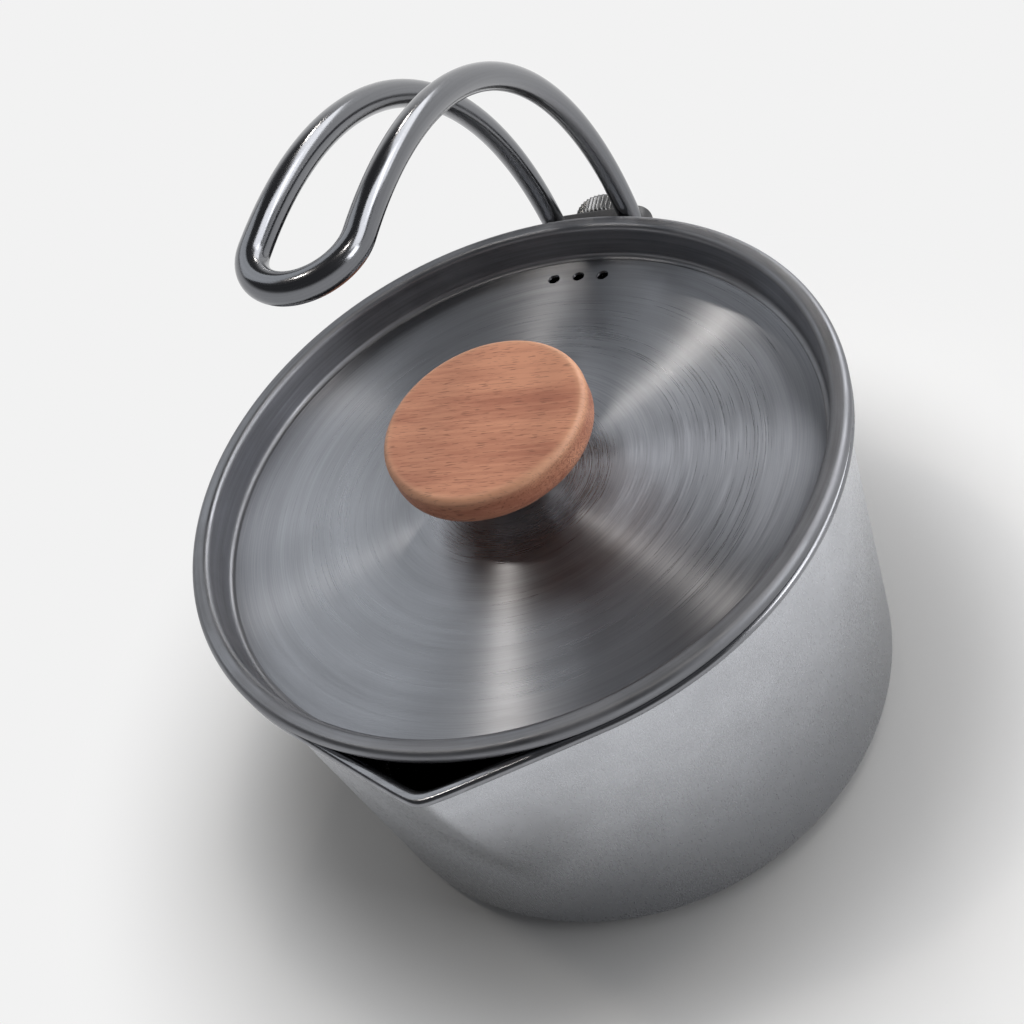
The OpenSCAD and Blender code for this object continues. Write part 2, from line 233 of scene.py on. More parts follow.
def divide(path, step):
    """The same path with points added, so that no stretch of its first two columns is longer than step."""
    gaps = np.linalg.norm(np.diff(path[:, :2], axis=0), axis=1)
    along = distances(path[:, :2])
    counts = np.maximum(1, np.ceil(gaps / step).astype(int))
    spots = np.concatenate([np.linspace(a, b, n, endpoint=False)
                            for a, b, n in zip(along[:-1], along[1:], counts)] + [along[-1:]])
    return points_at(path, along, spots)


def sheet_outline(path, gauge):
    """Closed outline of a sheet: its mid-line moved half the gauge to both sides along mitred normals."""
    d = unit(np.diff(path, axis=0))
    left = np.stack((-d[:, 1], d[:, 0]), 1)
    both = np.concatenate((left[:1], left)) + np.concatenate((left, left[-1:]))
    shift = both * gauge / (both * both).sum(1, keepdims=True)
    return np.concatenate((path + shift, (path - shift)[::-1]))


def revolve(outline, turns):
    """Points of an outline (r, z) carried round Z to each angle, counted from -Y towards +X."""
    r, z = outline[:, None, 0], outline[:, None, 1]
    return np.stack((r * np.sin(turns), -r * np.cos(turns), z + 0 * turns), -1)


def full_turn(count):
    """Angles spread evenly over a full turn."""
    return np.linspace(-np.pi, np.pi, count, endpoint=False)


def uneven_turn(half, near, far):
    """Angles of a full turn: near of them from -half to half, and wider ones over the rest, where far counts
    both ends of the rest again."""
    rest = np.linspace(half, 2 * np.pi - half, far)[1:-1]
    return np.concatenate((np.linspace(-half, half, near), rest))


def grid_faces(rows, columns, wrap_rows, wrap_columns):
    """Quads between neighbours of a grid whose point (i, j) has the number i * columns + j."""
    i = np.arange(rows if wrap_rows else rows - 1)[:, None]
    j = np.arange(columns if wrap_columns else columns - 1)[None, :]
    i2, j2 = (i + 1) % rows, (j + 1) % columns
    corners = (i * columns + j, i * columns + j2, i2 * columns + j2, i2 * columns + j)
    return np.stack(np.broadcast_arrays(*corners), -1)


def band_faces(a, b):
    """Quads between two closed loops of point numbers."""
    return np.stack((a, np.roll(a, -1), np.roll(b, -1), b), 1)


def new_mesh(name, points, faces):
    """A mesh from points (..., 3) and quads (..., 4)."""
    mesh = bpy.data.meshes.new(name)
    mesh.from_pydata(points.reshape(-1, 3).tolist(), [], faces.reshape(-1, 4).tolist())
    return mesh


def linked(name, data):
    """An object in the scene that shows a mesh, a lamp or a camera."""
    obj = bpy.data.objects.new(name, data)
    bpy.context.scene.collection.objects.link(obj)
    return obj


def piece(name, points, faces, material, body, replaced, sharp=40, maps=None, edge=None):
    """A closed mesh from points and quads: doubles merged, faces outwards, smooth but for edges sharper than
    the given degrees. maps are vectors for each point that a material reads by name. edge is a second
    material and the test that finds its faces by radius and height."""
    mesh = new_mesh(name, points, faces)
    for key, values in (maps or {}).items():
        layer = mesh.attributes.new(key, "FLOAT_VECTOR", "POINT")
        layer.data.foreach_set("vector", values.astype(np.float32).ravel())
    form = bmesh.new()
    form.from_mesh(mesh)
    bmesh.ops.remove_doubles(form, verts=form.verts, dist=SAME_POINT)
    bmesh.ops.dissolve_degenerate(form, edges=form.edges, dist=NO_LENGTH)
    bmesh.ops.recalc_face_normals(form, faces=form.faces)
    form.to_mesh(mesh)
    form.free()
    mesh.shade_smooth()
    mesh.set_sharp_from_angle(angle=np.radians(sharp))
    mesh.materials.append(material)
    if edge:
        mesh.materials.append(edge[0])
        centres = np.empty(3 * len(mesh.polygons))
        mesh.polygons.foreach_get("center", centres)
        x, y, z = centres.reshape(-1, 3).T
        mesh.polygons.foreach_set("material_index", edge[1](np.hypot(x, y), z).astype(np.int32))
    obj = linked(name, mesh)
    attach(obj, body)
    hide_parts(replaced)


# Shader nodes

# Ranges: a whole share, and the wide and the narrow middle of a noise
FULL, WIDE, NARROW = (0, 1), (0.3, 0.7), (0.35, 0.65)
# Places of the colour sockets on a Mix node
MIX_SHARE, MIX_A, MIX_B, MIX_RESULT = 0, 6, 7, 2
# Depth of the fine lines in a metal's skin
LINE_DEPTH = 0.02 * MM
# Turns the stretch of brushed highlights across the rings, as a share of a full turn
BRUSH_TURN = 0.25


def node(tree, kind, inputs=None, **settings):
    """A shader node with its settings; an input is a value or the socket that feeds it."""
    made = tree.nodes.new("ShaderNode" + kind)
    for key, value in settings.items():
        setattr(made, key, value)
    for key, value in (inputs or {}).items():
        if isinstance(value, bpy.types.NodeSocket):
            tree.links.new(value, made.inputs[key])
        else:
            made.inputs[key].default_value = value
    return made


def math(operation, a, b=0.0):
    """A function of a, or of a and b. Here and below, the first socket given says which tree is meant."""
    return node(a.id_data, "Math", {0: a, 1: b}, operation=operation).outputs[0]


def plus(a, b):
    return math("ADD", a, b)


def times(a, b):
    return math("MULTIPLY", a, b)


def weighted(a, share_a, b, share_b):
    """Sum of two values, each times its share."""
    return plus(times(a, share_a), times(b, share_b))


def remap(value, source, target=FULL, smooth=False):
    """A value carried from the range source to the range target and held at its ends."""
    inputs = dict(enumerate((value, *source, *target)))
    kind = "SMOOTHSTEP" if smooth else "LINEAR"
    return node(value.id_data, "MapRange", inputs, interpolation_type=kind).outputs[0]


def blend(share, a, b):
    """Colour a turned into colour b by a share."""
    inputs = {MIX_SHARE: share, MIX_A: a, MIX_B: b}
    return node(share.id_data, "Mix", inputs, data_type="RGBA").outputs[MIX_RESULT]


def shade(rgb, factor):
    """A colour times a factor, opaque."""
    return tuple(min(1, c * factor) for c in rgb) + (1,)


def two_tone(pattern, source, rgb, dark, light):
    """From a dark to a light shade of a colour, as a pattern runs through the range source."""
    return blend(remap(pattern, source), shade(rgb, dark), shade(rgb, light))


def stained(base, mask, share, stain):
    """A colour turned into the stain's by a share, where the mask is 1."""
    return blend(times(mask, share), base, stain)


def component(vector, axis):
    return node(vector.id_data, "SeparateXYZ", {0: vector}).outputs[axis]


def vector_length(vector):
    return node(vector.id_data, "VectorMath", {0: vector}, operation="LENGTH").outputs["Value"]


def scaled(vector, scale, start=(0, 0, 0)):
    inputs = {"Vector": vector, "Scale": scale, "Location": start}
    return node(vector.id_data, "Mapping", inputs).outputs[0]


def noise(vector, scale, detail, roughness):
    inputs = {"Vector": vector, "Scale": scale, "Detail": detail, "Roughness": roughness}
    return node(vector.id_data, "TexNoise", inputs).outputs[0]


def streaks(vector, scale, detail, roughness, start=(0, 0, 0)):
    """Noise with a scale for each axis, which is long where its scale is small."""
    return noise(scaled(vector, scale, start), 1, detail, roughness)


def new_group(name, inputs, outputs):
    """An empty shader node group with named sockets: (name, type, default)."""
    tree = bpy.data.node_groups.new(name, "ShaderNodeTree")
    for label, kind, default in inputs:
        socket = tree.interface.new_socket(label, in_out="INPUT", socket_type="NodeSocket" + kind)
        if default is not None:
            socket.default_value = default
    for label, kind in outputs:
        tree.interface.new_socket(label, in_out="OUTPUT", socket_type="NodeSocket" + kind)
    return tree, tree.nodes.new("NodeGroupInput").outputs, tree.nodes.new("NodeGroupOutput").inputs


def turned_lines_group():
    """Fine rings left by turning or circular brushing: noise over radius plus height and over the direction
    from the axis, so that it is long round the axis and short across it. Broad and Bands are wider rings."""
    name = "Turned Lines"
    if name in bpy.data.node_groups:
        return bpy.data.node_groups[name]
    tree, given, wanted = new_group(
        name, [("Vector", "Vector", None), ("Lines", "Float", 1500.0), ("Arc", "Float", 3.0)],
        [("Fine", "Float"), ("Broad", "Float"), ("Bands", "Float")])
    x, y, z = node(tree, "SeparateXYZ", {0: given["Vector"]}).outputs
    radius = math("SQRT", plus(times(x, x), times(y, y)))
    # Kept off zero, because it divides
    safe = math("MAXIMUM", radius, 1e-5)
    across = times(plus(radius, z), given["Lines"])
    round_x = times(math("DIVIDE", x, safe), given["Arc"])
    round_y = times(math("DIVIDE", y, safe), given["Arc"])
    place = node(tree, "CombineXYZ", {0: across, 1: round_x, 2: round_y}).outputs[0]
    fine = noise(place, scale=1, detail=4, roughness=0.65)
    broad = streaks(place, (0.14, 0.6, 0.6), detail=3, roughness=0.55, start=(7, 3, 1))
    bands = streaks(place, (0.022, 0.02, 0.02), detail=1, roughness=0.4, start=(4, 0, 0))
    tree.links.new(fine, wanted["Fine"])
    tree.links.new(broad, wanted["Broad"])
    tree.links.new(bands, wanted["Bands"])
    return tree


def handling_group():
    """Soft clouds and small specks that use leaves on a surface: two noises of different sizes."""
    name = "Handling"
    if name in bpy.data.node_groups:
        return bpy.data.node_groups[name]
    tree, given, wanted = new_group(
        name, [("Vector", "Vector", None), ("Clouds", "Float", 30.0), ("Specks", "Float", 600.0)],
        [("Clouds", "Float"), ("Specks", "Float")])
    clouds = noise(given["Vector"], given["Clouds"], detail=3, roughness=0.5)
    specks = noise(given["Vector"], given["Specks"], detail=2, roughness=0.6)
    tree.links.new(remap(clouds, WIDE, smooth=True), wanted["Clouds"])
    tree.links.new(remap(specks, (0.58, 0.72), smooth=True), wanted["Specks"])
    return tree


def placed(group, **inputs):
    """Outputs of a group that is placed in a material with its own values."""
    return node(inputs["Vector"].id_data, "Group", inputs, node_tree=group).outputs


def new_material(name, **constants):
    """A material with one Principled shader, whose plain values are set on its own sockets. Gives the
    material, the shader and the object's own coordinates."""
    material = bpy.data.materials.new(name)
    material.use_nodes = True
    tree = material.node_tree
    shader = tree.nodes["Principled BSDF"]
    for key, value in constants.items():
        shader.inputs[key.replace("_", " ")].default_value = value
    return material, shader, tree.nodes.new("ShaderNodeTexCoord").outputs["Object"]


def feed(shader, base, rough, height, strength, depth=LINE_DEPTH):
    """Feeds a shader its colour and roughness, and its normal from a relief of that height."""
    tree = shader.id_data
    relief = node(tree, "Bump", {"Height": height, "Strength": strength, "Distance": depth}).outputs[0]
    tree.links.new(base, shader.inputs["Base Color"])
    tree.links.new(rough, shader.inputs["Roughness"])
    tree.links.new(relief, shader.inputs["Normal"])


def turned_steel(name, steel, lines, roughness, contrast, anisotropic=0.0, arc_share=3.0, relief=0.1,
                 pivot_z=None):
    """Steel with fine rings about Z, or about the line along Y at the height pivot_z."""
    material, shader, place = new_material(name, Metallic=1.0, Anisotropic=anisotropic,
                                           Anisotropic_Rotation=BRUSH_TURN)
    if pivot_z is not None:
        about = {"Vector": place, "Location": (0, 0, pivot_z), "Rotation": (np.pi / 2, 0, 0)}
        place = node(place.id_data, "Mapping", about, vector_type="TEXTURE").outputs[0]
    rings = placed(turned_lines_group(), Vector=place, Lines=lines, Arc=arc_share)
    clouds = placed(handling_group(), Vector=place, Clouds=28.0)["Clouds"]
    tone = weighted(rings["Fine"], 0.6, rings["Broad"], 0.4)
    base = two_tone(tone, WIDE, steel, dark=1 - contrast, light=1 + contrast)
    base = stained(base, clouds, share=0.15, stain=shade(steel, 0.75))
    rough = remap(rings["Fine"], WIDE, (roughness * 0.8, roughness * 1.2))
    rough = plus(rough, times(clouds, 0.03))
    sway = 0.15 * roughness
    rough = plus(rough, remap(rings["Bands"], NARROW, (-sway, sway)))
    feed(shader, base, rough, rings["Fine"], relief)
    return material


def rolled_steel(name, steel, roughness):
    """Rolled and burnished edge: smooth steel with faint rings and rubbed places, in a darker colour that is
    painted shade.
    """
    material, shader, place = new_material(name, Metallic=1.0)
    rings = placed(turned_lines_group(), Vector=place, Lines=900.0, Arc=1.5)
    use = placed(handling_group(), Vector=place, Clouds=60.0, Specks=900.0)
    base = two_tone(rings["Fine"], WIDE, steel, dark=0.78, light=1.2)
    base = stained(base, use["Specks"], share=0.12, stain=shade(steel, 0.55))
    rough = remap(use["Clouds"], FULL, (roughness * 0.8, roughness * 1.25))
    rough = plus(rough, remap(rings["Fine"], WIDE, (-0.02, 0.02)))
    feed(shader, base, rough, rings["Fine"], strength=0.05)
    return material


# Pot

# Degrees to each side of the lip's nose where columns of points are close together, their number, and the
# number over the rest
LIP_REACH, LIP_COLUMNS, WALL_COLUMNS = 34, 137, 180
# Longest stretch of the pot's outline
POT_STEP = 3 * MM


def pot_material(pot):
    """Satin drawn steel: pale, slightly mottled, with faint upright draw lines, and darker towards its foot,
    which is painted shade."""
    material, shader, place = new_material("pot_satin_steel", Metallic=1.0)
    use = placed(handling_group(), Vector=place, Clouds=26.0, Specks=420.0)
    grain = noise(scaled(place, (1, 1, 0.25)), scale=2600, detail=3, roughness=0.6)
    mottle = noise(place, scale=95, detail=4, roughness=0.6)
    tone = weighted(mottle, 0.7, grain, 0.3)
    base = two_tone(tone, NARROW, pot.steel, dark=0.93, light=1.07)
    base = stained(base, use["Specks"], share=0.05, stain=shade(pot.steel, 0.6))
    # Painted shade: the steel turns darker towards the foot
    painted_foot_shade = remap(component(place, Z), (0, 0.85 * pot.height), (0.85, 0), smooth=True)
    base = blend(painted_foot_shade, base, shade(pot.steel, 0.6))
    rough = remap(use["Clouds"], FULL, (0.265, 0.3))
    rough = plus(rough, remap(grain, WIDE, (-0.04, 0.04)))
    feed(shader, base, rough, grain, strength=0.12)
    return material


def lip_factor(turn, z, pot):
    """How far the lip pushes the wall out, as a factor on its radius. Seen from above the lip is a V whose
    sides touch the round wall at the crease angle; down the lip's depth the V fades to the round wall, as
    one less the square of the share of the depth, to the power 1.5."""
    share = np.clip((pot.height - z) / pot.lip_depth, 0, 1)
    fade = (1 - share ** 2) ** 1.5
    crease_most = np.pi / 2 - pot.lip_angle / 2
    crease = np.arccos(1 / (1 + (1 / np.cos(crease_most) - 1) * fade))
    nose = np.arctan(2 * pot.lip_nose / pot.top_d)
    return 1 / np.cos(np.maximum(0, crease - np.hypot(turn, nose)))


class CAMPPOT_OT_pot(bpy.types.Operator):
    """Draws the pot: base, wall, pouring lip and rolled rim, as one sheet carried round the axis"""

    bl_idname = "camppot.pot"
    bl_label = "Pot"

    def execute(self, context):
        pot = context.scene.camppot_pot
        half = pot.sheet / 2
        slope = (pot.top_d - pot.base_d) / 2 / pot.height

        def wall(z):
            return pot.base_d / 2 + slope * z - half

        rim_z = pot.height - half
        roll = rolled_edge(pot.top_d / 2 + pot.rim_reach, rim_z, pot.rim_roll_d, pot.sheet)
        path = rounded_path([(0, half, 0), (wall(half), half, pot.base_corner),
                             (wall(rim_z), rim_z, pot.rim_flare), (*roll[0], 0)])
        outline = sheet_outline(divide(np.concatenate((path, roll[1:])), POT_STEP), pot.sheet)
        turns = uneven_turn(np.radians(LIP_REACH), LIP_COLUMNS, WALL_COLUMNS)
        turns = (turns + np.pi) % (2 * np.pi) - np.pi
        points = revolve(outline, turns)
        push = lip_factor(turns[None, :], outline[:, 1:], pot)
        points[..., :2] *= push[..., None]
        rim_low = pot.height - pot.rim_roll_d
        # The rim's darker steel is painted shade on the rolled rim and the gap under the lid's edge
        rim = (rolled_steel("pot_rim_steel", pot.rim_steel, roughness=0.24), lambda r, z: z > rim_low)
        piece("pot_shell_sheet", points, grid_faces(len(outline), len(turns), True, True),
              pot_material(pot), "pot", "pot_shell", edge=rim)
        return {"FINISHED"}


# Lid

# Rows of points on the floor inside the vents, cells along a side of a vent's square patch, and columns of
# points over the rest of the turn
LID_ROWS, VENT_CELLS, LID_COLUMNS = 18, 8, 200
# Longest stretch of the lid's outline outside its floor
LID_STEP = 2 * MM


def lid_material(lid):
    """Circular brushed steel: rings about the axis that spread highlights into rays."""
    return turned_steel("lid_brushed_steel", lid.steel, lines=3000.0, roughness=0.3, contrast=0.24,
                        anisotropic=1.0, arc_share=2.0, relief=0.12)


class CAMPPOT_OT_lid(bpy.types.Operator):
    """Draws the lid: a recessed sheet with a rolled edge, carried round the axis, and its steam vents"""

    bl_idname = "camppot.lid"
    bl_label = "Lid"

    def execute(self, context):
        lid = context.scene.camppot_lid
        half = lid.sheet / 2
        top = high("lid_disc", Z)
        floor_z = top - lid.depth - half
        roll = rolled_edge(high("lid_disc", X), top - half, lid.roll_d, lid.sheet)
        reach = lid.vent_pitch / 2
        rows = np.linspace(lid.vent_r - reach, lid.vent_r + reach, VENT_CELLS + 1)
        inner = np.linspace(lid.hole_d / 2, rows[0], LID_ROWS + 1)[:-1]
        flat = np.stack((np.concatenate((inner, rows)), np.full(len(inner) + len(rows), floor_z)), 1)
        bent = rounded_path([(*flat[-1], 0), (lid.recess_low_r - half, floor_z, lid.corner),
                             (lid.recess_top_r - half, top - half, lid.shoulder), (*roll[0], 0)])
        path = np.concatenate((flat, divide(np.concatenate((bent[1:], roll[1:])), LID_STEP)))
        span = lid.vent_pitch / lid.vent_r
        columns = uneven_turn(span * lid.vent_count / 2, VENT_CELLS * lid.vent_count + 1, LID_COLUMNS)
        turns = np.pi - lid.vent_turn + columns
        middles = turns[0] + span * (np.arange(lid.vent_count) + 0.5)
        points, faces = self.vented(lid, revolve(sheet_outline(path, lid.sheet), turns), LID_ROWS, middles)
        flat_r = lid.recess_low_r - lid.sheet - lid.corner
        # The edge's darker steel is painted shade on the recess wall and the rolled edge
        rolled = (rolled_steel("lid_edge_steel", lid.edge_steel, roughness=0.42), lambda r, z: r > flat_r)
        piece("lid_disc_sheet", points, faces, lid_material(lid), "lid", "lid_disc", edge=rolled)
        return {"FINISHED"}

    def vented(self, lid, points, first, middles):
        """Points and quads of the lid with a hole at each of the middle angles. On both sides of the sheet a
        square patch of quads, from the row first on, gives way to quads between its border and a circle on
        the same rays; quads between the two circles are the wall of the hole."""
        rows, columns = points.shape[:2]
        grid = points.reshape(-1, 3)
        quads = grid_faces(rows, columns, True, True)
        keep = np.ones((rows, columns), bool)
        all_points, extra_faces = [grid], []
        count = len(grid)
        # Rows and columns round the border of a patch
        k = np.arange(VENT_CELLS)
        start, end = 0 * k, 0 * k + VENT_CELLS
        ring_rows = np.concatenate((start, k, end, VENT_CELLS - k))
        ring_columns = np.concatenate((k, end, VENT_CELLS - k, start))
        for vent, mid in enumerate(middles):
            left = vent * VENT_CELLS
            centre = lid.vent_r * np.array((np.sin(mid), -np.cos(mid)))
            loops = []
            for border_rows in (first + ring_rows, rows - 1 - first - ring_rows):
                border = border_rows * columns + left + ring_columns
                away = unit(grid[border, :2] - centre)
                all_points.append(np.column_stack((centre + away * lid.vent_d / 2, grid[border, 2])))
                loops.append(count + np.arange(len(border)))
                count += len(border)
                extra_faces.append(band_faces(border, loops[-1]))
                lowest = border_rows.min()
                keep[lowest:lowest + VENT_CELLS, left:left + VENT_CELLS] = False
            extra_faces.append(band_faces(*loops))
        return np.concatenate(all_points), np.concatenate([quads[keep]] + extra_faces)


# Knob

# Points round the knob, steps over one of its roundings, and the longest stretch of its outline
KNOB_TURNS, KNOB_ARC_STEPS, KNOB_STEP = 192, 14, 1.5 * MM


def wood_material(knob, reach, top):
    """Oiled beech: grain along X, short dark flecks, pores in the end grain on the sides that face X, and a
    paler upper edge near the knob's outer radius, which is a painted highlight."""
    material, shader, place = new_material("knob_beech", Specular_IOR_Level=0.4)
    dark = shade(knob.dark_wood, 0.5)
    bands = streaks(place, (18, 120, 260), detail=4, roughness=0.55, start=(0.4, 1.7, 0))
    fibres = streaks(place, (90, 1100, 1100), detail=4, roughness=0.65)
    flecks = streaks(place, (330, 3400, 1800), detail=1, roughness=0.5)
    pores = streaks(place, (300, 3200, 3200), detail=2, roughness=0.5)
    tone = weighted(bands, 0.6, fibres, 0.4)
    base = blend(remap(tone, (0.4, 0.62)), (*knob.light_wood, 1), (*knob.dark_wood, 1))
    flecks = remap(flecks, (0.6, 0.68), smooth=True)
    base = stained(base, flecks, share=0.65, stain=dark)
    facing = component(place.node.outputs["Normal"], X)
    ends = remap(math("ABSOLUTE", facing), (0.45, 0.95), smooth=True)
    pores = times(ends, remap(pores, (0.5, 0.64), smooth=True))
    base = stained(base, pores, share=0.75, stain=dark)
    level = node(place.id_data, "VectorMath", {0: place, 1: (1, 1, 0)}, operation="MULTIPLY").outputs[0]
    # Painted highlight: paler wood along the upper edge near the outer radius
    near_side = remap(vector_length(level), (0.88 * reach, 0.98 * reach), (0, 0.35), smooth=True)
    near_top = remap(component(place, Z), (top - 3 * MM, top - 0.5 * MM), smooth=True)
    base = blend(times(near_side, near_top), base, (*knob.painted_highlight_wood, 1))
    rough = remap(tone, WIDE, (0.44, 0.58))
    height = math("SUBTRACT", times(fibres, 0.5), times(flecks, 0.5))
    feed(shader, base, rough, height, strength=0.25, depth=0.08 * MM)
    return material


class CAMPPOT_OT_knob(bpy.types.Operator):
    """Draws the wooden knob: a rounded outline with a blind bore, carried round the axis"""

    bl_idname = "camppot.knob"
    bl_label = "Knob"

    def execute(self, context):
        knob = context.scene.camppot_knob
        z0, z1, r = low("lid_knob", Z), high("lid_knob", Z), high("lid_knob", X)
        bore_r, bore_z = knob.bore_d / 2, z0 + knob.bore_depth
        corners = [(0, bore_z, 0), (bore_r, bore_z, 0), (bore_r, z0, 0), (r, z0, knob.under_round),
                   (r, z1, knob.top_round), (0, z1, 0)]
        outline = divide(rounded_path(corners, KNOB_ARC_STEPS), KNOB_STEP)
        turns = full_turn(KNOB_TURNS)
        piece("lid_knob_wood", revolve(outline, turns), grid_faces(len(outline), len(turns), False, True),
              wood_material(knob, r, z1), "lid", "lid_knob")
        return {"FINISHED"}


# Wire handle

# Points up a leg's arch, round the half turn between the legs, and round the wire
ARCH_POINTS, BEND_POINTS, WIRE_TURNS = 110, 41, 48


def wire_material(handle):
    """Polished wire: dark and mirror-like, with faint lengthwise draw lines and rubbed places."""
    material, shader, place = new_material("handle_polished_wire", Metallic=1.0)
    along = node(place.id_data, "Attribute", attribute_name="wire_map").outputs["Vector"]
    lines = streaks(along, (25, 2400, 2400), detail=3, roughness=0.6)
    use = placed(handling_group(), Vector=place, Clouds=45.0, Specks=800.0)
    base = two_tone(lines, NARROW, handle.steel, dark=0.94, light=1.06)
    base = stained(base, use["Specks"], share=0.1, stain=shade(handle.steel, 0.6))
    rough = remap(use["Clouds"], FULL, (0.13, 0.2))
    rough = plus(rough, remap(lines, NARROW, (-0.02, 0.02)))
    feed(shader, base, rough, lines, strength=0.04)
    return material


class CAMPPOT_OT_handle(bpy.types.Operator):
    """Draws the handle's wire: a circle carried up one leg's arch, round the half turn and down the other"""

    bl_idname = "camppot.handle"
    bl_label = "Wire handle"

    def execute(self, context):
        handle = context.scene.camppot_handle
        pivot_z = middle("handle_hub", Z)
        hub_half = high("handle_hub", Z) - pivot_z
        leg_x, big, r = handle.leg_spacing / 2, handle.arch_r, handle.wire_d / 2
        arch_y = middle("handle_hub", Y) - big
        tail = np.arcsin((hub_half - handle.hub_floor) / big)
        rise = np.linspace(-tail, handle.arch_angle, ARCH_POINTS)
        swing = np.linspace(0, np.pi, BEND_POINTS)[1:-1]
        leg = np.full(len(rise), leg_x)
        # Angle up the arch, side step and step along the tangent at the arch's end
        up = np.concatenate((rise, np.full(len(swing), handle.arch_angle), rise[::-1]))
        side = np.concatenate((leg, leg_x * np.cos(swing), -leg))
        ahead = np.concatenate((0 * rise, leg_x * np.sin(swing), 0 * rise))
        out = np.stack((0 * up, np.cos(up), np.sin(up)), 1)
        tangent = np.stack((0 * up, -np.sin(up), np.cos(up)), 1)
        line = big * out + tangent * ahead[:, None] + np.array((0, arch_y, pivot_z))
        line[:, X] = side
        across = unit(np.cross(unit(np.gradient(line, axis=0)), out))
        turns = full_turn(WIRE_TURNS)
        turn_cos, turn_sin = np.cos(turns), np.sin(turns)
        spokes = across[:, None] * turn_cos[None, :, None] + out[:, None] * turn_sin[None, :, None]
        # Both ends are closed by a point
        reach = np.concatenate(([0], np.full(len(line), r), [0]))
        line = np.concatenate((line[:1], line, line[-1:]))
        spokes = np.concatenate((spokes[:1], spokes, spokes[-1:]))
        points = line[:, None] + spokes * reach[:, None, None]
        maps = np.stack(np.broadcast_arrays(distances(line)[:, None], r * turn_cos, r * turn_sin), -1)
        piece("handle_wire_loop", points, grid_faces(len(line), len(turns), False, True),
              wire_material(handle), "handle", "handle_wire", maps={"wire_map": maps})
        return {"FINISHED"}


# Hinge

# Points round the hub, on one of its corners and over one of its edges
HUB_TURNS, CORNER_POINTS, EDGE_POINTS = 144, 9, 7
# Shares of the way from the bore to the edge where the hub's faces have points
FACE_SHARES = (0.25, 0.5, 0.75)
# The shank's play to each side in its bore, the bevel at its tip, and the depth of the dish in the head
SHANK_PLAY, TIP_BEVEL, DISH = 0.05 * MM, 0.5 * MM, 0.5 * MM
# Radii of the dish at its top and at its floor, as shares of the head's
DISH_TOP, DISH_FLOOR = 0.62, 0.56
# Points round one knurl, the power that shapes it, and the longest stretch of the screw's outline
KNURL_POINTS, KNURL_POWER, SCREW_STEP = 8, 1.5, 0.7 * MM
# Colours of the small hardware that isn't steel
BRASS, FIBRE, SILICONE = (0.6, 0.42, 0.16), (0.05, 0.05, 0.05), (0.1, 0.1, 0.105)


def hub_material(hinge):
    """Satin black casting: fine pitted skin, a little rubbed."""
    material, shader, place = new_material("hub_satin_black", Specular_IOR_Level=0.5)
    use = placed(handling_group(), Vector=place, Clouds=160.0, Specks=1500.0)
    skin = noise(place, scale=2600, detail=3, roughness=0.6)
    base = two_tone(skin, NARROW, hinge.black, dark=0.75, light=1.4)
    base = stained(base, use["Specks"], share=0.3, stain=shade(hinge.black, 4))
    rough = remap(use["Clouds"], FULL, (0.34, 0.48))
    feed(shader, base, rough, skin, strength=0.2, depth=0.05 * MM)
    return material


def rounded_rectangle(half_w, half_h, corner, turns):
    """Points along the outline of a rounded rectangle, from the start of its first corner: each angle's
    share of a full turn is the point's share of the outline's length."""
    bend = np.linspace(0, np.pi / 2, CORNER_POINTS)
    one = np.stack((half_w - corner + corner * np.cos(bend), half_h - corner + corner * np.sin(bend)), 1)
    loop = np.concatenate((one, (one * (-1, 1))[::-1], one * (-1, -1), (one * (1, -1))[::-1], one[:1]))
    along = distances(loop)
    return points_at(loop, along, (turns - turns[0]) / (2 * np.pi) * along[-1])


